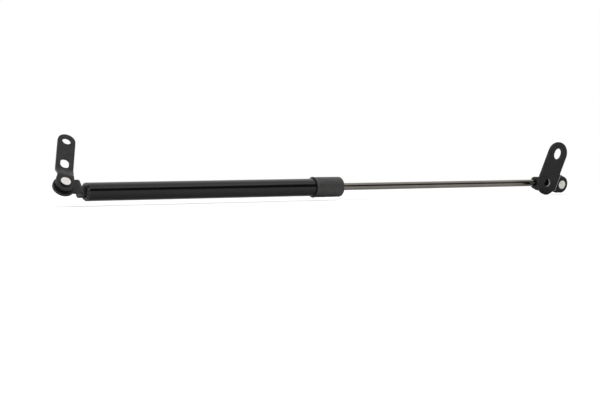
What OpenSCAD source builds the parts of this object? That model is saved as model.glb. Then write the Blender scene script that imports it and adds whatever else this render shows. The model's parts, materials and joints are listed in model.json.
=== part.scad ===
// Gas strut stay: gas spring with a riveted swivel bracket at each end.
// Origin at the round bolt hole of the tube bracket, +X along the strut to the rod, +Z up.
// Drawn fully extended; each pivot pin points to -Y turned about the strut axis.

/* [Strut] */
// Distance between the two pivots, extended (mm)
pin_span = 634; // [600:1:680]
// Working stroke of the rod (mm)
stroke = 250; // [100:5:255]
// Outer diameter of the pressure tube (mm)
tube_d = 19; // [18.5:0.1:20]
// Wall of the pressure tube (mm)
tube_wall = 1.2; // [1:0.1:1.4]
// Diameter of the piston rod (mm)
rod_d = 8; // [7.8:0.1:8.4]
// Start of the pressure tube from the tube-end pivot (mm)
tube_start = 24.5; // [24:0.5:28]
// Length of the pressure tube (mm)
tube_len = 299; // [290:0.5:301]

/* [Dust sleeve] */
// Length of the sleeve (mm)
sleeve_len = 35.5; // [34:0.5:40]
// Outer diameter of the sleeve (mm)
sleeve_d = 22; // [21.2:0.1:24]
// Thickness of the end face round the rod (mm)
sleeve_face_t = 4; // [3:0.5:4]

/* [Lugs] */
// Sheet thickness of the lugs (mm)
lug_t = 3; // [2.5:0.1:3.4]
// Width of the lug leg and flange (mm)
lug_w = 16; // [15:0.5:18]
// Radius of the eye round the pivot (mm)
eye_r = 11; // [10:0.5:11.5]
// Back face of the eye ahead of the strut axis (mm)
eye_back = 6.4; // [6.2:0.1:7]
// Inside radius of the lug bend (mm)
lug_bend_r = 1.5; // [1:0.25:1.5]
// Radius of the tube flange's round end (mm)
tube_flange_r = 6; // [5.5:0.1:7]
// Radius of the rod flange's round end (mm)
rod_flange_r = 7.2; // [6:0.1:7.5]
// Outer face of the tube lug flange from its pivot (mm)
tube_flange_x = 20.9; // [20:0.1:21]
// Outer face of the rod lug flange from its pivot (mm)
rod_flange_x = 29; // [26:0.1:30]

/* [Pivots] */
// Turn of the tube-end pivot about the strut axis (deg)
tube_end_turn = 41; // [0:1:80]
// Turn of the rod-end pivot about the strut axis (deg)
rod_end_turn = -10; // [-60:1:60]
// Diameter of the rivet shank (mm)
shank_d = 8; // [7:0.1:8.4]
// Diameter of the rivet neck through the bracket (mm)
neck_d = 6; // [5:0.1:6.5]
// Diameter of the formed rivet head (mm)
head_d = 10.2; // [9.5:0.1:10.4]
// Height of the formed rivet head (mm)
head_h = 2.2; // [1.6:0.1:3]
// Play between a pin and its bush, on the radius (mm)
running_gap = 0.05; // [0.02:0.01:0.1]

/* [Tube bracket] */
// Sheet thickness of both brackets (mm)
plate_t = 2.3; // [2:0.1:2.8]
// Lean of the tube bracket from upright toward the tube (deg)
tube_lean = 20; // [0:0.5:25]
// Width of the tube bracket (mm)
strap_w = 18.4; // [17:0.2:20]
// Width of the tube bracket at its waist (mm)
waist_w = 16.4; // [15:0.2:17]
// Radius of the riveted end (mm)
strap_tab_r = 9.4; // [9:0.2:10.4]
// Pivot to slot (mm)
slot_l = 35; // [34:0.5:38]
// Pivot to round hole (mm)
top_hole_l = 67; // [60:0.2:75]
// Diameter of the round bolt holes (mm)
bolt_hole_d = 9; // [8:0.1:10]
// Length of the tube bracket slot (mm)
slot_len = 13; // [12:0.5:15]
// Step back of the bolted part (mm)
strap_step = 8.5; // [6:0.5:9]

/* [Rod bracket] */
// Lean of the rod bracket from upright away from the tube (deg)
rod_lean = 19.5; // [0:0.5:30]
// Width of the rod bracket plate (mm)
wide_w = 28; // [26:0.2:28]
// Pivot to the plate centre line (mm)
wide_off = 23.8; // [23.6:0.2:24.4]
// Low hole below the pivot (mm)
low_hole_l = -5.5; // [-8:0.5:-3]
// Spacing of the two plate holes (mm)
wide_pitch = 36.5; // [32:0.5:45]
// Width of the high slot (mm)
wide_slot_w = 11; // [10:0.1:12.5]
// Length of the high slot (mm)
wide_slot_len = 13; // [12.6:0.1:15]
// Radius of the riveted tab (mm)
wide_tab_r = 10; // [9:0.2:10.4]
// Step forward of the plate (mm)
wide_step = 3; // [3:0.1:4]

/* [Hidden] */
$fn = 96;

black_paint = [0.05, 0.05, 0.055];
black_coat = [0.12, 0.12, 0.12];
steel = [0.45, 0.43, 0.4];
zinc = [0.86, 0.85, 0.82];
rubber = [0.14, 0.14, 0.14];
bronze = [0.62, 0.45, 0.25];
alloy = [0.7, 0.7, 0.72];
polymer = [0.9, 0.88, 0.8];

eps = 0.05;
bend_steps = 8;
tube_r = tube_d / 2;
bore_r = tube_r - tube_wall;
rod_r = rod_d / 2;
tube_end = tube_start + tube_len;
corner_r = 3;

boss_r = 6;
stud_r = 4;
spigot_len = 4;
nut_chamfer = 0.8;
rod_stud_r = 3;
rod_nut_flats = 10;
rod_nut_h = 5;

bush_r = 5.5;
bush_flange_r = 7;
bush_flange_t = 1;
eye_front = eye_back + lug_t;
bush_front = eye_front + bush_flange_t;
tab_back = bush_front + 2.2;
tab_front = tab_back + plate_t;
bolt_hole_up = top_hole_l * cos(tube_lean);
bolt_hole_a = tab_back - strap_step + plate_t / 2;
bolt_hole_at = [
  top_hole_l * sin(tube_lean),
  bolt_hole_up * sin(tube_end_turn) - bolt_hole_a * cos(tube_end_turn),
  bolt_hole_up * cos(tube_end_turn) + bolt_hole_a * sin(tube_end_turn)
];
washer_t = 1;
washer_r = 7;
washer_back = eye_back - eps - washer_t;
rear_head_h = 2.3;
rear_head_r = 6.5;
spring_t = 0.8;
spring_cone = 1.3;
spring_r = 6.8;

sleeve_start = tube_end + sleeve_face_t + 0.5 - sleeve_len;
sleeve_end = sleeve_start + sleeve_len;
sleeve_r = sleeve_d / 2;
sleeve_lip = 0.35;

rod_stop = pin_span - rod_flange_x;
crimp_t = 1.2;
closing_t = 1.5;
closing_x = tube_end - crimp_t - closing_t;
guide_len = 12;
guide_x = closing_x - guide_len;
ring_section_r = 0.85;
bearing_len = 9;
bearing_t = 1;
seal_len = 5;
seal_x = guide_x - seal_len;
support_t = 2;
support_x = seal_x - support_t;
seal_lip = 0.03;

piston_len = 10;
piston_x = support_x - piston_len - 2;
piston_r = bore_r - 0.3;
piston_bore_r = 2.5;
groove_w = 3;
groove_r = piston_r - 1.5;
disc_t = 1;
tail_r = 3.6;
tail_t = 2;
tail_x = piston_x - disc_t - tail_t;

// Child origin is on the strut axis at the tube-end pivot.
module on_strut() {
  translate(-bolt_hole_at) children();
}

module on_tube_end() {
  on_strut() rotate([-tube_end_turn, 0, 0]) children();
}

module on_rod_end() {
  on_strut() translate([pin_span, 0, 0]) rotate([-rod_end_turn, 0, 0]) children();
}

// Child Z runs along the pivot pin, out of the front of the bracket.
module along_pin(a) {
  translate([0, -a, 0]) rotate([90, 0, 0]) children();
}

// Child X runs up the bracket, child Y back toward the tube end, child Z along the pin.
module in_plate(lean) {
  rotate([90, 0, 0]) rotate([0, 0, 90 - lean]) children();
}

// Child profile is (position along X, radius).
module turned(x) {
  on_strut() translate([x, 0, 0]) rotate([0, 90, 0]) rotate_extrude() children();
}

// Ring in a turned profile: radii r0 to r1, from x0 over a length.
module band(r0, r1, x0, len) {
  translate([r0, x0]) square([r1 - r0, len]);
}

module slot_2d(w, len) {
  for (s = [-1, 1]) translate([s * (len - w) / 2, 0]) circle(d = w);
  square([len - w, w], center = true);
}

// Points on a bend round centre c, from heading a0 to heading a1.
function bend_points(c, r, a0, a1) =
  [for (i = [0:bend_steps]) let (h = a0 + (a1 - a0) * i / bend_steps) c + r * [sin(h), -cos(h)]];

// Sheet running in from -X, stepped up by rise and running on along +X.
module joggle_2d(t, r, ang, rise, len_in, len_out) {
  run = joggle_run(t, r, ang, rise);
  low = [0, t + r];
  high = [run, rise - r];
  polygon(concat(
    [[-len_in, 0]],
    bend_points(low, r + t, 0, ang),
    bend_points(high, -r, ang, 0),
    [[run + len_out, rise]],
    [[run + len_out, rise + t]],
    bend_points(high, -r - t, 0, ang),
    bend_points(low, r, ang, 0),
    [[-len_in, t]]
  ));
}

function joggle_run(t, r, ang, rise) =
  2 * (r + t / 2) * sin(ang)
  + (rise - 2 * (r + t / 2) * (1 - cos(ang))) / tan(ang);

module hex_nut(flats, h, bore) {
  difference() {
    intersection() {
      cylinder(r = flats / sqrt(3), h = h, $fn = 6);
      cylinder(r1 = flats / 2 + nut_chamfer / 4, r2 = flats / 2 + nut_chamfer / 4 + 3 * h, h = h);
      cylinder(r1 = flats / 2 + nut_chamfer / 4 + 3 * h, r2 = flats / 2 + nut_chamfer / 4, h = h);
    }
    translate([0, 0, -1]) cylinder(r = bore, h = h + 2);
  }
}

// L-shaped lug: eye at the pivot, flange face at flange_x toward the strut.
module lug(flange_x, flange_r, hole_r) {
  out_r = lug_bend_r + lug_t;
  difference() {
    union() {
      translate([flange_x - out_r, out_r - eye_front, -lug_w / 2])
        linear_extrude(height = lug_w) {
          rotate(-90) difference() {
            intersection() {
              circle(r = out_r);
              square(out_r);
            }
            circle(r = lug_bend_r);
          }
        }
      translate([flange_x - lug_t, 0, 0]) rotate([90, 0, 90]) linear_extrude(height = lug_t) {
        circle(r = flange_r);
        polygon([
          [0, -flange_r],
          [out_r - eye_front, -lug_w / 2],
          [out_r - eye_front, lug_w / 2],
          [0, flange_r]
        ]);
      }
    }
    translate([flange_x - lug_t - 1, 0, 0]) rotate([0, 90, 0]) cylinder(r = hole_r, h = lug_t + 2);
  }
  along_pin(eye_back) linear_extrude(height = lug_t) difference() {
    union() {
      circle(r = eye_r);
      translate([0, -lug_w / 2]) square([flange_x - out_r, lug_w]);
    }
    circle(r = bush_r);
  }
}

module pivot_bush() {
  along_pin(eye_back) difference() {
    union() {
      cylinder(r = bush_r, h = lug_t);
      translate([0, 0, lug_t]) cylinder(r = bush_flange_r, h = bush_flange_t);
    }
    translate([0, 0, -1]) cylinder(r = shank_d / 2 + running_gap, h = lug_t + bush_flange_t + 2);
  }
}

module rear_washer() {
  along_pin(washer_back) difference() {
    cylinder(r = washer_r, h = washer_t);
    translate([0, 0, -1]) cylinder(d = shank_d, h = washer_t + 2);
  }
}

// Conical spring washer, wide rim against the bracket.
module spring_washer() {
  hole_r = shank_d / 2 + 0.2;
  along_pin(tab_back - spring_t - spring_cone) rotate_extrude() polygon([
    [hole_r, 0],
    [spring_r, spring_cone],
    [spring_r, spring_cone + spring_t],
    [hole_r, spring_t]
  ]);
}

// Shouldered rivet: rear head, shank in the bush, neck in the bracket, low domed head.
module pivot_rivet() {
  cap_h = 0.4;
  cap_r = (pow(head_d / 2, 2) + pow(cap_h, 2)) / (2 * cap_h);
  rear_r = (pow(rear_head_r, 2) + pow(rear_head_h, 2)) / (2 * rear_head_h);
  along_pin(washer_back) {
    cylinder(d = shank_d, h = tab_back - washer_back);
    cylinder(d = neck_d, h = tab_front - washer_back);
    intersection() {
      translate([0, 0, rear_r - rear_head_h]) sphere(r = rear_r);
      translate([0, 0, -rear_head_h]) cylinder(r = rear_head_r, h = rear_head_h);
    }
  }
  along_pin(tab_front) intersection() {
    translate([0, 0, head_h - cap_r]) sphere(r = cap_r);
    cylinder(d = head_d, h = head_h);
  }
}

module pressure_tube() {
  color(black_paint) turned(0) {
    difference() {
      union() {
        band(0, tube_r - corner_r, tube_start, corner_r);
        band(0, tube_r, tube_start + corner_r, tube_len - corner_r);
        translate([tube_r - corner_r, tube_start + corner_r]) circle(r = corner_r);
      }
      band(-1, boss_r - 1, tube_start - 1, corner_r + tube_wall);
      band(-1, bore_r, tube_start + corner_r, tube_len);
      translate([-2 * tube_r, tube_start - 1]) square([2 * tube_r, tube_len]);
    }
    band(bore_r - 1, tube_r, tube_end - crimp_t, crimp_t);
  }
}

// Stud welded into the closed end of the tube, peened flush in the lug flange.
module end_boss() {
  color(black_coat) turned(0) {
    band(0, stud_r, tube_flange_x - lug_t, lug_t + 1);
    band(0, boss_r, tube_flange_x, tube_start - tube_flange_x);
    band(0, boss_r - 1, tube_start, spigot_len);
  }
}

module weld_bead() {
  bead_r = 1;
  color(black_coat) turned(0) difference() {
    translate([boss_r, tube_start]) circle(r = bead_r);
    band(0, boss_r, tube_start - 2, 4);
    band(0, tube_r, tube_start, 2);
  }
}

module tube_lug() {
  color(black_coat) on_tube_end() lug(tube_flange_x, tube_flange_r, stud_r);
}

module tube_pivot_bush() {
  color(bronze) on_tube_end() pivot_bush();
}

module tube_rear_washer() {
  color(zinc) on_tube_end() rear_washer();
}

module tube_pivot_rivet() {
  color(zinc) on_tube_end() pivot_rivet();
}

module tube_spring_washer() {
  color(steel) on_tube_end() spring_washer();
}

// Narrow bracket: riveted tab, step back over a gentle slope, slot and round hole.
module tube_bracket() {
  bend_r = 4;
  ang = 30;
  run = joggle_run(plate_t, bend_r, ang, strap_step);
  step_l = 9.5 + run;
  waist_r = 30;
  waist_l = 13;
  color(black_coat) on_tube_end() in_plate(tube_lean) difference() {
    intersection() {
      translate([step_l, 0, tab_back - strap_step]) rotate([90, 0, 0])
        linear_extrude(height = 4 * strap_tab_r, center = true) mirror([1, 0])
          joggle_2d(plate_t, bend_r, ang, strap_step, top_hole_l, 3 * strap_tab_r);
      linear_extrude(height = 3 * tab_front) difference() {
        union() {
          circle(r = strap_tab_r);
          translate([0, -strap_w / 2]) square([top_hole_l, strap_w]);
          translate([top_hole_l, 0]) circle(d = strap_w);
        }
        for (s = [-1, 1])
          translate([waist_l, s * (waist_w / 2 + waist_r)]) circle(r = waist_r);
      }
    }
    cylinder(d = neck_d, h = 2 * tab_front);
    translate([top_hole_l, 0, 0]) cylinder(d = bolt_hole_d, h = 2 * tab_front);
    translate([slot_l, 0, 0]) linear_extrude(height = 2 * tab_front)
      slot_2d(bolt_hole_d, slot_len);
  }
}

// Rubber sleeve over the open end of the tube, closed round the rod.
module dust_sleeve() {
  round_r = 4;
  hole_r = rod_r + 0.6;
  color(rubber) turned(0) difference() {
    union() {
      band(hole_r, sleeve_r, sleeve_start, sleeve_len - round_r);
      band(hole_r, sleeve_r - round_r, sleeve_start, sleeve_len);
      translate([sleeve_r - round_r, sleeve_end - round_r]) circle(r = round_r);
      translate([sleeve_r, sleeve_start + 2 * sleeve_lip]) circle(r = sleeve_lip);
    }
    band(0, tube_r, sleeve_start - 1, tube_end + 1 - sleeve_start);
    band(0, hole_r, tube_end - 1, sleeve_face_t + 3);
  }
}

module closing_washer() {
  color(steel) turned(0) band(rod_r + 0.5, bore_r, closing_x, closing_t);
}

// Guide block: grooved outside for the O-ring, bored for the bearing.
module rod_guide() {
  color(alloy) turned(guide_x) difference() {
    band(rod_r + 0.5, bore_r, 0, guide_len);
    band(0, rod_r + bearing_t, guide_len - bearing_len, bearing_len + 1);
    translate([bore_r - ring_section_r, guide_len / 2]) circle(r = ring_section_r);
    band(bore_r - ring_section_r, tube_r, guide_len / 2 - ring_section_r, 2 * ring_section_r);
  }
}

module guide_bearing() {
  color(bronze) turned(guide_x)
    band(rod_r + running_gap, rod_r + bearing_t, guide_len - bearing_len, bearing_len);
}

module guide_o_ring() {
  color(rubber) turned(guide_x)
    translate([bore_r - ring_section_r, guide_len / 2]) circle(r = ring_section_r);
}

// Lip seal: solid heel, open gas side.
module rod_seal() {
  lip_t = 1.2;
  heel = 2;
  color(rubber) turned(seal_x) difference() {
    band(rod_r + seal_lip, bore_r, 0, seal_len);
    band(rod_r + seal_lip + lip_t, bore_r - lip_t, -1, seal_len - heel + 1);
  }
}

module seal_support_ring() {
  color(polymer) turned(support_x) band(rod_r + 0.5, bore_r, 0, support_t);
}

module piston_ring() {
  color(polymer) turned(piston_x)
    band(groove_r + 0.1, bore_r - running_gap, (piston_len - groove_w) / 2 + 0.1, groove_w - 0.2);
}

// Piston: ring groove outside, bleed holes through.
module piston() {
  bleed_d = 1.5;
  bleeds = 3;
  color(steel) difference() {
    turned(piston_x) difference() {
      band(piston_bore_r, piston_r, 0, piston_len);
      band(groove_r, tube_r, (piston_len - groove_w) / 2, groove_w);
    }
    for (i = [0:bleeds - 1])
      on_strut() rotate([i * 360 / bleeds, 0, 0])
        translate([piston_x - 1, 0, (piston_bore_r + groove_r) / 2])
          rotate([0, 90, 0]) cylinder(d = bleed_d, h = piston_len + 2);
  }
}

module piston_disc() {
  color(steel) turned(piston_x - disc_t) band(piston_bore_r, piston_r - 1, 0, disc_t);
}

module piston_rivet_ring() {
  color(steel) turned(tail_x) band(piston_bore_r, tail_r, 0, tail_t);
}

// Polished rod: turned down at both ends for the piston and the lug.
module piston_rod() {
  shoulder = 1;
  color(steel) turned(0) {
    band(0, piston_bore_r, tail_x, piston_x + piston_len - tail_x);
    band(0, rod_r, piston_x + piston_len, rod_stop - piston_x - piston_len);
    band(0, rod_stud_r, rod_stop - shoulder, lug_t + rod_nut_h + 2 * shoulder);
  }
}

module rod_lug() {
  color(black_coat) on_rod_end() mirror([1, 0, 0]) lug(rod_flange_x, rod_flange_r, rod_stud_r);
}

module rod_lug_nut() {
  color(black_coat) on_rod_end() translate([lug_t - rod_flange_x, 0, 0])
    rotate([0, 90, 0]) hex_nut(rod_nut_flats, rod_nut_h, rod_stud_r);
}

module rod_pivot_bush() {
  color(bronze) on_rod_end() pivot_bush();
}

module rod_rear_washer() {
  color(zinc) on_rod_end() rear_washer();
}

module rod_pivot_rivet() {
  color(zinc) on_rod_end() pivot_rivet();
}

module rod_spring_washer() {
  color(steel) on_rod_end() spring_washer();
}

// Wide bracket: riveted tab beside a plate stepped forward along their shared edge.
module rod_bracket() {
  bend_r = 1;
  ang = 60;
  step_w = 5.3;
  side = wide_tab_r - 0.1;
  color(black_coat) on_rod_end() in_plate(rod_lean) difference() {
    union() {
      translate([0, 0, tab_back]) linear_extrude(height = plate_t) {
        intersection() {
          circle(r = wide_tab_r);
          translate([-wide_tab_r, -wide_tab_r]) square([2 * wide_tab_r, wide_tab_r + 1]);
        }
        translate([-side, 0]) square([2 * side, step_w]);
      }
      translate([-side, step_w, tab_back]) rotate([90, 0, 90]) linear_extrude(height = 2 * side)
        joggle_2d(plate_t, bend_r, ang, wide_step, 1, 2);
      translate([0, wide_off, tab_back + wide_step]) linear_extrude(height = plate_t) {
        translate([low_hole_l, 0]) circle(d = wide_w);
        translate([low_hole_l, -wide_w / 2]) square([wide_pitch, wide_w]);
        translate([low_hole_l + wide_pitch, 0]) circle(d = wide_w);
      }
    }
    cylinder(d = neck_d, h = 3 * tab_front);
    translate([low_hole_l, wide_off, 0]) cylinder(d = bolt_hole_d, h = 3 * tab_front);
    translate([low_hole_l + wide_pitch, wide_off, 0]) linear_extrude(height = 3 * tab_front)
      slot_2d(wide_slot_w, wide_slot_len);
  }
}

pressure_tube();
end_boss();
weld_bead();
tube_lug();
tube_pivot_bush();
tube_rear_washer();
tube_pivot_rivet();
tube_spring_washer();
tube_bracket();
dust_sleeve();
closing_washer();
rod_guide();
guide_bearing();
guide_o_ring();
rod_seal();
seal_support_ring();
piston_ring();
piston();
piston_disc();
piston_rivet_ring();
piston_rod();
rod_lug();
rod_lug_nut();
rod_pivot_bush();
rod_rear_washer();
rod_pivot_rivet();
rod_spring_washer();
rod_bracket();
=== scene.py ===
import json
import math

import bmesh
import bpy
from mathutils import Matrix, Vector

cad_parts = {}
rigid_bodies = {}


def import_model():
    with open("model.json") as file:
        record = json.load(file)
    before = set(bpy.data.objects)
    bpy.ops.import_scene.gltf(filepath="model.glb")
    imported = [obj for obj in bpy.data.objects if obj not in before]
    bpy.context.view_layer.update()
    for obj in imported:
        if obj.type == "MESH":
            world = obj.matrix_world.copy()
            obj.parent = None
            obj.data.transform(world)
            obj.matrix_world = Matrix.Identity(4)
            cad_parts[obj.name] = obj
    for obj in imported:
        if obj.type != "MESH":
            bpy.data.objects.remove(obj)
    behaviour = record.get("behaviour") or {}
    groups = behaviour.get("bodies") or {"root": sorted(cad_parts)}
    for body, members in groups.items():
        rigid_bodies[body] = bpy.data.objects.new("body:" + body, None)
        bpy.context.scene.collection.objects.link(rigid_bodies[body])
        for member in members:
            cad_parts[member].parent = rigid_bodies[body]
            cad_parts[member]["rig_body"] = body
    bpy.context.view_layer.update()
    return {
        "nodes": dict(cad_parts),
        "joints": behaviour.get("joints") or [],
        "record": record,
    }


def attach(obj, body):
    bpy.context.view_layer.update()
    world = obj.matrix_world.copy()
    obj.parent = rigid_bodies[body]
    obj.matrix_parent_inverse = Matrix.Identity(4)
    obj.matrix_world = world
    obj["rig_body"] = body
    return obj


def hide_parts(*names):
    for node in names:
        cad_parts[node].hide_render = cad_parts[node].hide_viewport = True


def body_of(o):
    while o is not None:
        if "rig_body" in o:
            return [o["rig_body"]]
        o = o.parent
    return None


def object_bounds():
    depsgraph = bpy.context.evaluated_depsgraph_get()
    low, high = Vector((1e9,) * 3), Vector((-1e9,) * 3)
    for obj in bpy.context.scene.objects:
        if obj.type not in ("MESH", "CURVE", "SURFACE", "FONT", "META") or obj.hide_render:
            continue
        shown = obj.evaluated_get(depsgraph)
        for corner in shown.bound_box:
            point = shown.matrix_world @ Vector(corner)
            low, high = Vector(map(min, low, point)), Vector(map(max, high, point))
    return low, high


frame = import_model()

MM = 0.001
STEPS_ROUND = 128
MERGE_GAP = 0.002 * MM

# ---------------------------------------------------------------- places taken from the frame

JOINTS = {joint["name"]: joint for joint in frame["joints"]}
MOUNTS = {mount["name"]: mount for mount in frame["record"]["mounts"]}
STRUT_MIDDLE = Vector(JOINTS["rod_turn"]["pos_m"])
ALONG_STRUT = Vector((1, 0, 0))


def pin_of(joint_name):
    """A point on a pivot pin and the direction out of the front of its bracket."""
    joint = JOINTS[joint_name]
    return Vector(joint["pos_m"]), -Vector(joint["axis"]).normalized()


def reach(node, origin, axis):
    """Lowest and highest place of a CAD node along an axis, and its largest radius round it."""
    places, radii = [], []
    for vertex in frame["nodes"][node].data.vertices:
        away = vertex.co - origin
        place = away.dot(axis)
        places.append(place)
        radii.append((away - place * axis).length)
    return min(places), max(places), max(radii)


# ---------------------------------------------------------------- mesh helpers


def rounded(points, arc_steps=6):
    """A closed profile from (along, radius, corner radius) points, corners turned into arcs."""
    out = []
    count = len(points)
    for i, (x, y, corner) in enumerate(points):
        here = Vector((x, y))
        if corner <= 0:
            out.append(here)
            continue
        before = Vector(points[i - 1][:2]) - here
        after = Vector(points[(i + 1) % count][:2]) - here
        half = before.angle(after) / 2
        cut = min(corner / math.tan(half), before.length * 0.49, after.length * 0.49)
        inward = (before.normalized() + after.normalized()).normalized()
        centre = here + inward * cut / math.cos(half)
        start = here + before.normalized() * cut - centre
        end = here + after.normalized() * cut - centre
        for step in range(arc_steps + 1):
            out.append(centre + start.slerp(end, step / arc_steps) * start.length)
    return out


def shaped(name, mesh, material, body):
    """Puts a finished mesh into the scene as a piece that rides on a body."""
    for polygon in mesh.polygons:
        polygon.use_smooth = True
    piece = bpy.data.objects.new(name, mesh)
    bpy.context.scene.collection.objects.link(piece)
    mesh.materials.append(material)
    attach(piece, body)
    return piece


def lathe(profile, origin, axis, move=None):
    """Turns a closed profile of (along, radius) points round an axis.

    move(along, radius, angle), where given, returns the shifted place of a point.
    """
    side = axis.orthogonal().normalized()
    up = axis.cross(side)
    bm = bmesh.new()
    rings = []
    for step in range(STEPS_ROUND):
        angle = 2 * math.pi * step / STEPS_ROUND
        out = side * math.cos(angle) + up * math.sin(angle)
        ring = []
        for along, radius in profile:
            if move:
                along, radius = move(along, radius, angle)
            ring.append(bm.verts.new(origin + axis * along + out * max(radius, 0)))
        rings.append(ring)
    count = len(profile)
    for step in range(STEPS_ROUND):
        here, after = rings[step], rings[(step + 1) % STEPS_ROUND]
        for i in range(count):
            j = (i + 1) % count
            bm.faces.new((here[i], here[j], after[j], after[i]))
    bmesh.ops.remove_doubles(bm, verts=bm.verts, dist=MERGE_GAP)
    bmesh.ops.recalc_face_normals(bm, faces=bm.faces)
    mesh = bpy.data.meshes.new("turned")
    bm.to_mesh(mesh)
    bm.free()
    return mesh


def weigh_normals(piece):
    """Keeps flat faces flat in the shading beside their rounded edges."""
    modifier = piece.modifiers.new("weighted_normals", "WEIGHTED_NORMAL")
    modifier.keep_sharp = True
    modifier.weight = 80


# ---------------------------------------------------------------- shader helpers


class Shader:
    """A small wrapper that builds one Principled material from procedural nodes, sizes in millimetres."""

    def __init__(self, name):
        self.material = bpy.data.materials.new(name)
        self.material.use_nodes = True
        self.tree = self.material.node_tree
        self.surface = self.tree.nodes["Principled BSDF"]
        self.place = self.node("ShaderNodeTexCoord").outputs["Object"]

    def node(self, kind, **settings):
        made = self.tree.nodes.new(kind)
        for key, value in settings.items():
            setattr(made, key, value)
        return made

    def link(self, source, target):
        self.tree.links.new(source, target)

    def noise(self, size_mm, detail=3.0, stretch=(1, 1, 1)):
        """Noise with features about size_mm across, longer along an axis with a small stretch."""
        scaled = self.node("ShaderNodeMapping")
        scaled.inputs["Scale"].default_value = [s / (size_mm * MM) for s in stretch]
        self.link(self.place, scaled.inputs["Vector"])
        made = self.node("ShaderNodeTexNoise")
        made.inputs["Scale"].default_value = 1
        made.inputs["Detail"].default_value = detail
        self.link(scaled.outputs[0], made.inputs["Vector"])
        return made.outputs["Fac"]

    def cells(self, size_mm):
        """Distance to the nearest of many scattered points, about size_mm apart."""
        scaled = self.node("ShaderNodeMapping")
        scaled.inputs["Scale"].default_value = [1 / (size_mm * MM)] * 3
        self.link(self.place, scaled.inputs["Vector"])
        made = self.node("ShaderNodeTexVoronoi")
        made.inputs["Scale"].default_value = 1
        self.link(scaled.outputs[0], made.inputs["Vector"])
        return made.outputs["Distance"]

    def spread(self, value, low, high, to_low=0.0, to_high=1.0):
        """Carries the range low to high smoothly over to the range to_low to to_high."""
        made = self.node("ShaderNodeMapRange", interpolation_type="SMOOTHSTEP")
        ends = {"From Min": low, "From Max": high, "To Min": to_low, "To Max": to_high}
        for socket, number in ends.items():
            made.inputs[socket].default_value = number
        self.link(value, made.inputs["Value"])
        return made.outputs["Result"]

    def times(self, a, b):
        made = self.node("ShaderNodeMath", operation="MULTIPLY")
        self.link(a, made.inputs[0])
        self.link(b, made.inputs[1])
        return made.outputs[0]

    def mix(self, share, a, b):
        """Colour a where share is 0 and colour b where it is 1."""
        made = self.node("ShaderNodeMix", data_type="RGBA")
        self.link(share, made.inputs["Factor"])
        for socket, colour in zip((6, 7), (a, b)):
            if isinstance(colour, tuple):
                made.inputs[socket].default_value = (*colour, 1)
            else:
                self.link(colour, made.inputs[socket])
        return made.outputs[2]

    def edges(self, radius_mm):
        """1 on a worn outside edge, 0 on a flat face."""
        bevel = self.node("ShaderNodeBevel", samples=4)
        bevel.inputs["Radius"].default_value = radius_mm * MM
        geometry = self.node("ShaderNodeNewGeometry")
        dot = self.node("ShaderNodeVectorMath", operation="DOT_PRODUCT")
        self.link(bevel.outputs[0], dot.inputs[0])
        self.link(geometry.outputs["Normal"], dot.inputs[1])
        return self.spread(dot.outputs["Value"], 0.99, 0.8, 0, 1)

    def facing(self, axis, low, high):
        """0 to 1 as the surface, in the piece's own frame, turns to face along an axis."""
        normal = self.node("ShaderNodeTexCoord").outputs["Normal"]
        dot = self.node("ShaderNodeVectorMath", operation="DOT_PRODUCT")
        dot.inputs[1].default_value = axis
        self.link(normal, dot.inputs[0])
        return self.spread(dot.outputs["Value"], low, high)

    def slope(self, axis):
        """1 on a bend out of the plane square to an axis, 0 on that plane and past the bend."""
        return self.times(self.facing(axis, 0.985, 0.9), self.facing(axis, 0.45, 0.6))

    def near_line(self, point, axis, radius):
        """1 within a radius of a line, such as the wall of a hole."""
        away = self.node("ShaderNodeVectorMath", operation="SUBTRACT")
        away.inputs[1].default_value = point
        self.link(self.place, away.inputs[0])
        across = self.node("ShaderNodeVectorMath", operation="CROSS_PRODUCT")
        across.inputs[1].default_value = axis
        self.link(away.outputs[0], across.inputs[0])
        length = self.node("ShaderNodeVectorMath", operation="LENGTH")
        self.link(across.outputs[0], length.inputs[0])
        fade_start, fade_end = 0.01 * MM, 0.06 * MM
        return self.spread(length.outputs["Value"], radius + fade_end, radius + fade_start)

    def within(self, point, axis, reach_mm):
        """1 up to a point and a little past it along an axis, 0 from reach_mm past it."""
        away = self.node("ShaderNodeVectorMath", operation="SUBTRACT")
        away.inputs[1].default_value = point
        self.link(self.place, away.inputs[0])
        along = self.node("ShaderNodeVectorMath", operation="DOT_PRODUCT")
        along.inputs[1].default_value = axis
        self.link(away.outputs[0], along.inputs[0])
        return self.spread(along.outputs["Value"], reach_mm * MM, reach_mm * 0.6 * MM)

    def relief(self, height, depth_mm, onto=None):
        """A bump of depth_mm, laid over the bump in onto where one is given."""
        made = self.node("ShaderNodeBump")
        made.inputs["Strength"].default_value = 1
        made.inputs["Distance"].default_value = depth_mm * MM
        self.link(height, made.inputs["Height"])
        if onto:
            self.link(onto, made.inputs["Normal"])
        return made.outputs["Normal"]

    def dress(self, colour, roughness, normal, metallic=0.0, gloss=0.5):
        """Fills in the surface and returns the finished material."""
        self.link(colour, self.surface.inputs["Base Color"])
        self.link(roughness, self.surface.inputs["Roughness"])
        self.link(normal, self.surface.inputs["Normal"])
        self.surface.inputs["Metallic"].default_value = metallic
        self.surface.inputs["Specular IOR Level"].default_value = gloss
        return self.material


# ---------------------------------------------------------------- materials


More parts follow.
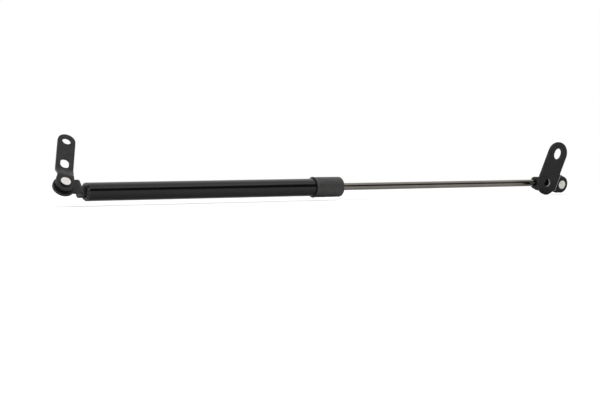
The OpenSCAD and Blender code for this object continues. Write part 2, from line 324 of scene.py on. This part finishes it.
def tube_paint():
    """Gloss black paint: orange peel, scuffs that lie along the tube, pale chips where its end is rolled
    that are partly chipped paint and partly painted highlight for the rolled end's glints.
    """
    s = Shader("tube_paint")
    start = reach("pressure_tube", STRUT_MIDDLE, ALONG_STRUT)[0]
    rolled_end = s.within(STRUT_MIDDLE + ALONG_STRUT * start, ALONG_STRUT, 3)
    # Chipped paint at the rolled end, also a painted highlight standing in for the glints on the rolled
    # corner.
    chips_and_glints = s.times(rolled_end, s.spread(s.noise(2.4, 1), 0.5, 0.6))
    scuffs = s.spread(s.noise(0.5, 2, (0.06, 1, 1)), 0.66, 0.78)
    colour = s.mix(s.noise(45), (0.004, 0.004, 0.004), (0.007, 0.007, 0.007))
    colour = s.mix(scuffs, colour, (0.014, 0.014, 0.014))
    # Pale grey in the chips: partly chipped paint, partly painted highlight.
    colour = s.mix(chips_and_glints, colour, (0.1, 0.098, 0.095))
    roughness = s.spread(s.noise(12), 0.3, 0.7, 0.11, 0.17)
    normal = s.relief(s.noise(1.6, 1), 0.005)
    normal = s.relief(scuffs, 0.001, normal)
    return s.dress(colour, roughness, normal, gloss=0.3)


def black_coat(name="black_coat", painted_shade=1.0, bend_axis=None, hole=None):
    """Satin black coat on pressed steel: fine grain, cloudy patches, thin at sheared edges; a factor
    below 1 darkens it as painted shade, and it can carry a painted highlight along bends and on a hole's
    wall.
    """
    s = Shader(name)
    # A factor below 1 darkens the whole coat: painted shade for a plate turned away from the light.
    thick = tuple(painted_shade * value for value in (0.0125, 0.0132, 0.0138))
    thin = tuple(painted_shade * value for value in (0.021, 0.0218, 0.0224))
    patchy = s.spread(s.noise(6, 4), 0.35, 0.7)
    worn = s.times(s.edges(0.4), s.spread(s.noise(1.5), 0.4, 0.62))
    colour = s.mix(patchy, thick, thin)
    colour = s.mix(worn, colour, (0.05, 0.049, 0.047))
    if bend_axis:
        # Pale colour on the bends: painted highlight along the bend crests.
        colour = s.mix(s.slope(bend_axis), colour, (0.4, 0.39, 0.37))
    if hole:
        # Pale ring on the wall of the bracket's hole: painted highlight where the wall catches the light.
        hole_wall_highlight = s.near_line(hole["pos_m"], hole["axis"], hole["dims"]["r_mm"] * MM)
        colour = s.mix(hole_wall_highlight, colour, (0.4, 0.39, 0.37))
    roughness = s.spread(s.noise(2.5), 0.3, 0.7, 0.42, 0.58)
    normal = s.relief(s.noise(0.3, 2), 0.012)
    normal = s.relief(s.noise(3), 0.03, normal)
    return s.dress(colour, roughness, normal, gloss=0.22)


def zinc_steel(name="zinc_steel", face_axis=None):
    """Bright plated rivet: hammered face, slightly stained; where a face axis is given, the flank is
    painted nearly black as painted shade.
    """
    s = Shader(name)
    colour = s.mix(s.spread(s.noise(2.2, 4), 0.4, 0.7), (0.82, 0.79, 0.75), (0.68, 0.65, 0.61))
    if face_axis:
        # Nearly black on the flank that turns away from the face axis: painted shade.
        colour = s.mix(s.facing(face_axis, 0.55, 0.93), (0.02, 0.02, 0.02), colour)
    roughness = s.spread(s.noise(0.8), 0.3, 0.7, 0.36, 0.52)
    normal = s.relief(s.cells(1.4), 0.02)
    normal = s.relief(s.noise(0.25), 0.006, normal)
    return s.dress(colour, roughness, normal, metallic=0.35)


def rod_steel():
    """Dark ground and polished rod: grinding rings and faint colour bands."""
    s = Shader("rod_steel")
    colour = s.mix(s.noise(18, 2, (1, 0.3, 0.3)), (0.145, 0.136, 0.123), (0.2, 0.186, 0.165))
    roughness = s.spread(s.noise(0.6, 2, (1, 0.05, 0.05)), 0.3, 0.7, 0.12, 0.2)
    normal = s.relief(s.noise(0.18, 1, (1, 0.04, 0.04)), 0.0008)
    return s.dress(colour, roughness, normal, metallic=1)


def spring_steel():
    """Plain hardened steel, oiled and a little cloudy."""
    s = Shader("spring_steel")
    colour = s.mix(s.noise(3), (0.2, 0.195, 0.19), (0.33, 0.32, 0.3))
    roughness = s.spread(s.noise(0.7), 0.3, 0.7, 0.3, 0.48)
    normal = s.relief(s.noise(0.2), 0.006)
    return s.dress(colour, roughness, normal, metallic=1)


def sleeve_rubber():
    """Matte moulded rubber: fine grain, dusty patches, paler on its lip."""
    s = Shader("sleeve_rubber")
    dusty = s.spread(s.noise(7, 5), 0.38, 0.68)
    colour = s.mix(dusty, (0.017, 0.017, 0.0155), (0.026, 0.026, 0.0245))
    colour = s.mix(s.times(s.edges(0.5), dusty), colour, (0.09, 0.09, 0.088))
    roughness = s.spread(s.noise(2), 0.3, 0.7, 0.55, 0.7)
    normal = s.relief(s.noise(0.22, 3), 0.02)
    normal = s.relief(s.noise(4), 0.05, normal)
    return s.dress(colour, roughness, normal, gloss=0.75)


def seal_rubber():
    """Smooth moulded nitrile rubber."""
    s = Shader("seal_rubber")
    colour = s.mix(s.noise(2), (0.014, 0.014, 0.014), (0.026, 0.026, 0.026))
    roughness = s.spread(s.noise(1), 0.3, 0.7, 0.5, 0.65)
    return s.dress(colour, roughness, s.relief(s.noise(0.2), 0.006))


def bronze():
    """Sintered bronze: open pores."""
    s = Shader("bronze")
    pores = s.spread(s.cells(0.35), 0.05, 0.2)
    colour = s.mix(pores, (0.03, 0.022, 0.014), (0.1, 0.072, 0.042))
    roughness = s.spread(s.noise(1), 0.3, 0.7, 0.32, 0.5)
    return s.dress(colour, roughness, s.relief(pores, 0.01), metallic=1)


def guide_alloy():
    """Turned alloy: tool marks round the part."""
    s = Shader("guide_alloy")
    marks = s.noise(0.25, 1, (1, 0.03, 0.03))
    colour = s.mix(s.noise(4), (0.6, 0.6, 0.62), (0.72, 0.72, 0.74))
    roughness = s.spread(marks, 0.3, 0.7, 0.24, 0.4)
    return s.dress(colour, roughness, s.relief(marks, 0.004), metallic=1)


def polymer():
    """Filled bearing polymer with a slight mottle."""
    s = Shader("polymer")
    colour = s.mix(s.noise(2.5), (0.76, 0.72, 0.62), (0.86, 0.83, 0.75))
    roughness = s.spread(s.noise(1), 0.3, 0.7, 0.45, 0.6)
    return s.dress(colour, roughness, s.relief(s.noise(0.3), 0.008))


MATERIALS = {
    make.__name__: make()
    for make in (
        tube_paint, black_coat, zinc_steel, rod_steel, spring_steel,
        sleeve_rubber, seal_rubber, bronze, guide_alloy, polymer,
    )
}

# ---------------------------------------------------------------- turned pieces on the strut


def on_strut(name, node, profile, slot, move=None):
    """Turns a profile round the strut axis and lets it stand for a CAD node."""
    mesh = lathe(profile, STRUT_MIDDLE, ALONG_STRUT, move)
    piece = shaped(name, mesh, MATERIALS[slot], body_of(frame["nodes"][node])[0])
    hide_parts(node)
    weigh_normals(piece)
    return piece


def tube_shell():
    """Closed end rolled over, open end crimped in under the sleeve."""
    start, end, radius = reach("pressure_tube", STRUT_MIDDLE, ALONG_STRUT)
    wall, rolled, hole = 1.2 * MM, 3 * MM, 5 * MM
    lip, lip_edge = 1 * MM, 0.2 * MM
    bore = radius - wall
    inner_start = start + rolled + wall
    profile = rounded([
        (start, hole, 0),
        (start, radius, rolled * 1.25),
        (end, radius, 0.5 * MM),
        (end, bore - lip, lip_edge),
        (end - wall, bore - lip, lip_edge),
        (end - wall, bore, 0),
        (inner_start, bore, 0.4 * MM),
        (inner_start, hole, 0),
    ], 10)

    def pleat(along, around_r, angle):
        """Presses uneven pleats into the rolled corner, fainter inside the tube."""
        push, dent = 0.2 * MM, 0.17 * MM
        fade = max(0, 1 - abs(along - start - rolled * 0.45) / (rolled * 0.75))
        if around_r < bore:
            fade *= 0.3
        wave = math.sin(angle * 11) + 0.6 * math.sin(angle * 7 + 1.3)
        return along + push * fade * (1 + wave), around_r - dent * fade * (1.6 + wave)

    on_strut("tube_shell", "pressure_tube", profile, "tube_paint", pleat)


def rubber_sleeve():
    """Soft sleeve: flared lip over the tube, gently uneven body, domed closed end."""
    start, end, radius = reach("dust_sleeve", STRUT_MIDDLE, ALONG_STRUT)
    lip, gap, rod_play = 0.35 * MM, 0.02 * MM, 0.6 * MM
    body_r = radius - lip
    _, tube_end, tube_r = reach("pressure_tube", STRUT_MIDDLE, ALONG_STRUT)
    rod_hole = reach("piston_rod", STRUT_MIDDLE, ALONG_STRUT)[2] + rod_play
    body_steps = 14
    body_start, body_end = start + 2.2 * MM, end - 4.4 * MM
    body = [
        (body_start + (body_end - body_start) * i / body_steps, body_r, 0)
        for i in range(body_steps + 1)
    ]
    profile = rounded([
        (start, tube_r + gap, 0.1 * MM),
        (start, radius, 0.15 * MM),
        (start + 0.5 * MM, radius - 0.05 * MM, 0.2 * MM),
        *body,
        (end, body_r, 4.8 * MM),
        (end, rod_hole, 0.5 * MM),
        (tube_end + gap, rod_hole, 0),
        (tube_end + gap, tube_r + gap, 0.3 * MM),
    ], 9)

    def soft(along, around_r, angle):
        """Draws the outside of the body in by a slow uneven wave, as soft rubber lies."""
        skin, depth = 0.3 * MM, 0.05 * MM
        if around_r < body_r - skin or along < body_start:
            return along, around_r
        wave = math.sin(along / (6.5 * MM) + math.sin(angle) * 1.3)
        wave += 0.6 * math.sin(angle * 2 + along / (9 * MM))
        return along, around_r - depth * (1 + wave / 1.6)

    on_strut("rubber_sleeve", "dust_sleeve", profile, "sleeve_rubber", soft)


def ground_rod():
    """Polished rod with a turned-down stud at each end and a small chamfer at its shoulders."""
    start, end, radius = reach("piston_rod", STRUT_MIDDLE, ALONG_STRUT)
    piston_end = reach("piston", STRUT_MIDDLE, ALONG_STRUT)[1]
    flange = reach("rod_lug", STRUT_MIDDLE, ALONG_STRUT)[0]
    chamfer, piston_stud_r, lug_stud_r = 0.4 * MM, 2.5 * MM, 3 * MM
    profile = rounded([
        (start, 0, 0),
        (start, piston_stud_r, 0.2 * MM),
        (piston_end, piston_stud_r, 0),
        (piston_end, radius, chamfer),
        (flange, radius, chamfer),
        (flange, lug_stud_r, 0),
        (end, lug_stud_r, chamfer),
        (end, 0, 0),
    ], 4)
    on_strut("ground_rod", "piston_rod", profile, "rod_steel")


def rippled_weld():
    """Weld bead round the stud with overlapping ripples."""
    start, end, radius = reach("weld_bead", STRUT_MIDDLE, ALONG_STRUT)
    stud_r = reach("end_boss", STRUT_MIDDLE, ALONG_STRUT)[2]
    ripples, ripple_depth = 22, 0.3 * MM
    root_r = stud_r - 0.3 * MM
    arc_steps = 8
    arc = [
        (
            end - (end - start) * math.sin(math.pi / 2 * i / arc_steps),
            stud_r + (radius - stud_r) * math.cos(math.pi / 2 * i / arc_steps),
        )
        for i in range(arc_steps + 1)
    ]
    profile = [(end, root_r), *arc, (start, root_r)]

    def ripple(along, around_r, angle):
        """Lets the bead sink between one lap and the next."""
        lap = (angle * ripples / (2 * math.pi)) % 1
        share = (around_r - stud_r) / (radius - stud_r)
        return along, around_r - max(share, 0) * ripple_depth * lap ** 2

    on_strut("rippled_weld", "weld_bead", profile, "black_coat", ripple)


def formed_rivet(end_name):
    """Shouldered rivet: domed rear head, plain shank, formed head with a nearly flat face."""
    node = end_name + "_pivot_rivet"
    origin, out = pin_of(end_name + "_bracket_pivot")
    low, high, rear_r = reach(node, origin, out)
    washer_low = reach(end_name + "_rear_washer", origin, out)[0]
    plate_back = reach(end_name + "_spring_washer", origin, out)[1]
    plate_front = plate_back + MOUNTS[end_name + "_bracket_hole"]["dims"]["length_mm"] * MM
    shank_r, neck_r, head_r = 4 * MM, 3 * MM, 5.1 * MM
    rise = 0.4 * MM
    rim = high - plate_front - rise
    curve_steps = 8
    quarter = [math.pi / 2 * i / curve_steps for i in range(curve_steps + 1)]
    rear = [
        (washer_low - (washer_low - low) * math.cos(turn), rear_r * math.sin(turn), 0)
        for turn in quarter
    ]
    face = [
        (high - rise * (i / curve_steps) ** 2, head_r * i / curve_steps, 0)
        for i in range(curve_steps)
    ]
    profile = rounded([
        *rear,
        (washer_low, shank_r, 0),
        (plate_back, shank_r, 0),
        (plate_back, neck_r, 0),
        (plate_front, neck_r, 0),
        (plate_front, head_r, 0.2 * MM),
        (plate_front + rim, head_r, 0.45 * MM),
        *reversed(face),
    ])
    mesh = lathe(profile, origin, out)
    material = zinc_steel(end_name + "_rivet_zinc", out)
    piece = shaped(end_name + "_formed_rivet", mesh, material, end_name + "_end_bracket")
    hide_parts(node)
    weigh_normals(piece)


# ---------------------------------------------------------------- CAD nodes that stay

# Width of the rounded edges, in millimetres
KEPT_EDGES = {
    "tube_bracket": 0.22, "rod_bracket": 0.22, "tube_lug": 0.3, "rod_lug": 0.3,
    "rod_lug_nut": 0.25, "end_boss": 0.3,
    "tube_pivot_bush": 0.15, "rod_pivot_bush": 0.15,
    "tube_rear_washer": 0.15, "rod_rear_washer": 0.15,
    "tube_spring_washer": 0.15, "rod_spring_washer": 0.15,
    "closing_washer": 0.15, "rod_guide": 0.2, "guide_bearing": 0.1,
    "rod_seal": 0.1, "seal_support_ring": 0.15, "piston_ring": 0.15,
    "piston": 0.2, "piston_disc": 0.1, "piston_rivet_ring": 0.15,
}


def soften_edges(node, width_mm):
    """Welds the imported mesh, merges its flat faces and rounds its sharp edges."""
    piece = frame["nodes"][node]
    weld = piece.modifiers.new("weld", "WELD")
    weld.merge_threshold = 0.001 * MM
    flat = piece.modifiers.new("flat_faces", "DECIMATE")
    flat.decimate_type = "DISSOLVE"
    flat.angle_limit = math.radians(0.5)
    bevel = piece.modifiers.new("edge", "BEVEL")
    bevel.width = width_mm * MM
    bevel.segments = 3
    bevel.limit_method = "ANGLE"
    bevel.angle_limit = math.radians(40)
    bevel.harden_normals = True
    weigh_normals(piece)


def dress_kept_nodes():
    """Gives every CAD node its material and the visible ones their rounded edges."""
    slots = {sub["node"]: sub["material_slot"] for sub in frame["record"]["subparts"]}
    bend_axis = pin_of("rod_bracket_pivot")[1]
    # The rod bracket's coat is a darker copy as painted shade, with painted highlights on its bends and
    # on its hole's wall.
    shaded_highlit_coat = black_coat("shaded_highlit_black_coat", 0.6, bend_axis, MOUNTS["rod_bracket_hole"])
    for node, piece in frame["nodes"].items():
        piece.data.materials.clear()
        piece.data.materials.append(shaded_highlit_coat if node == "rod_bracket" else MATERIALS[slots[node]])
        if node in KEPT_EDGES:
            soften_edges(node, KEPT_EDGES[node])


# ---------------------------------------------------------------- stage, light and camera


def pale_floor():
    """White paper just under the lowest piece."""
    half, gap = 3, 0.1 * MM
    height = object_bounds()[0].z - gap
    bm = bmesh.new()
    corners = [(-half, -half), (half, -half), (half, half), (-half, half)]
    bm.faces.new([bm.verts.new((x, y, height)) for x, y in corners])
    mesh = bpy.data.meshes.new("floor")
    bm.to_mesh(mesh)
    bm.free()
    floor = bpy.data.objects.new("floor", mesh)
    bpy.context.scene.collection.objects.link(floor)
    s = Shader("floor_paper")
    colour = s.mix(s.noise(400), (0.93, 0.93, 0.93), (0.95, 0.95, 0.95))
    roughness = s.spread(s.noise(50), 0, 1, 0.85, 0.95)
    mesh.materials.append(s.dress(colour, roughness, s.relief(s.noise(1), 0.005)))


# Camera place from the middle of the strut in metres, and where it points in degrees
CAMERA_FROM_MIDDLE = Vector((-0.91871, -1.40806, 0.00491))
CAMERA_AZIMUTH = -31.947
CAMERA_ELEVATION = 0.634
CAMERA_ROLL = -1.047


def photo_camera():
    data = bpy.data.cameras.new("camera")
    data.lens = 92.46
    data.sensor_width = 36
    camera = bpy.data.objects.new("camera", data)
    bpy.context.scene.collection.objects.link(camera)
    turn = Matrix.Rotation(math.radians(CAMERA_AZIMUTH), 4, "Z")
    tip = Matrix.Rotation(math.radians(90 - CAMERA_ELEVATION), 4, "X")
    roll = Matrix.Rotation(math.radians(CAMERA_ROLL), 4, "Z")
    camera.matrix_world = Matrix.Translation(STRUT_MIDDLE + CAMERA_FROM_MIDDLE) @ turn @ tip @ roll
    bpy.context.scene.camera = camera


def light_by_height(tree, direction):
    """Light from the camera's side by height: pale floor, dark gap at eye level, bright strip above."""
    split = tree.nodes.new("ShaderNodeSeparateXYZ")
    tree.links.new(direction, split.inputs[0])
    height = tree.nodes.new("ShaderNodeMapRange")
    height.inputs["From Min"].default_value = -1
    tree.links.new(split.outputs["Z"], height.inputs["Value"])
    ramp = tree.nodes.new("ShaderNodeValToRGB")
    tree.links.new(height.outputs[0], ramp.inputs["Fac"])
    stops = [
        (0.0, 0.5), (0.49, 0.5), (0.5, 0.02), (0.825, 0.03),
        (0.85, 1.9), (0.87, 1.9), (0.89, 1.25), (1.0, 1.25),
    ]
    elements = ramp.color_ramp.elements
    while len(elements) < len(stops):
        elements.new(0.5)
    for element, (place, value) in zip(elements, stops):
        element.position = place
        element.color = (value, value, value, 1)
    return ramp.outputs[0]


def camera_side(tree, direction):
    """1 for light from the camera's side, 0 for light from behind the object."""
    toward = tree.nodes.new("ShaderNodeVectorMath")
    toward.operation = "DOT_PRODUCT"
    toward.inputs[1].default_value = CAMERA_FROM_MIDDLE.normalized()
    tree.links.new(direction, toward.inputs[0])
    front = tree.nodes.new("ShaderNodeMapRange")
    front.interpolation_type = "SMOOTHSTEP"
    front.inputs["From Min"].default_value = -0.2
    front.inputs["From Max"].default_value = 0.3
    tree.links.new(toward.outputs["Value"], front.inputs["Value"])
    return front.outputs[0]


def studio_world():
    """White all round, apart from the dark gap that the gloss shows; the camera sees plain white."""
    world = bpy.data.worlds.new("studio")
    bpy.context.scene.world = world
    world.use_nodes = True
    tree = world.node_tree
    direction = tree.nodes.new("ShaderNodeTexCoord").outputs["Generated"]
    sides = tree.nodes.new("ShaderNodeMix")
    sides.data_type = "RGBA"
    sides.inputs[6].default_value = (1.25, 1.25, 1.25, 1)
    tree.links.new(camera_side(tree, direction), sides.inputs["Factor"])
    tree.links.new(light_by_height(tree, direction), sides.inputs[7])
    seen = tree.nodes.new("ShaderNodeLightPath")
    shown = tree.nodes.new("ShaderNodeMix")
    shown.data_type = "RGBA"
    shown.inputs[7].default_value = (1, 1, 1, 1)
    tree.links.new(seen.outputs["Is Camera Ray"], shown.inputs["Factor"])
    tree.links.new(sides.outputs[2], shown.inputs[6])
    tree.links.new(shown.outputs[2], tree.nodes["Background"].inputs["Color"])


def overhead_light():
    """A wide soft light over the strut, unseen by the camera and in the gloss."""
    side, power = 5, 22
    at = STRUT_MIDDLE + Vector((0, 0.8, 2.2))
    data = bpy.data.lights.new("overhead", "AREA")
    data.shape = "RECTANGLE"
    data.size = data.size_y = side
    data.energy = power
    light = bpy.data.objects.new("overhead", data)
    bpy.context.scene.collection.objects.link(light)
    light.location = at
    light.rotation_mode = "QUATERNION"
    light.rotation_quaternion = (STRUT_MIDDLE - at).to_track_quat("-Z", "Y")
    light.visible_camera = False
    light.visible_glossy = False


tube_shell()
rubber_sleeve()
ground_rod()
rippled_weld()
formed_rivet("tube")
formed_rivet("rod")
dress_kept_nodes()
pale_floor()
photo_camera()
studio_world()
overhead_light()
bpy.context.scene.view_settings.view_transform = "Standard"
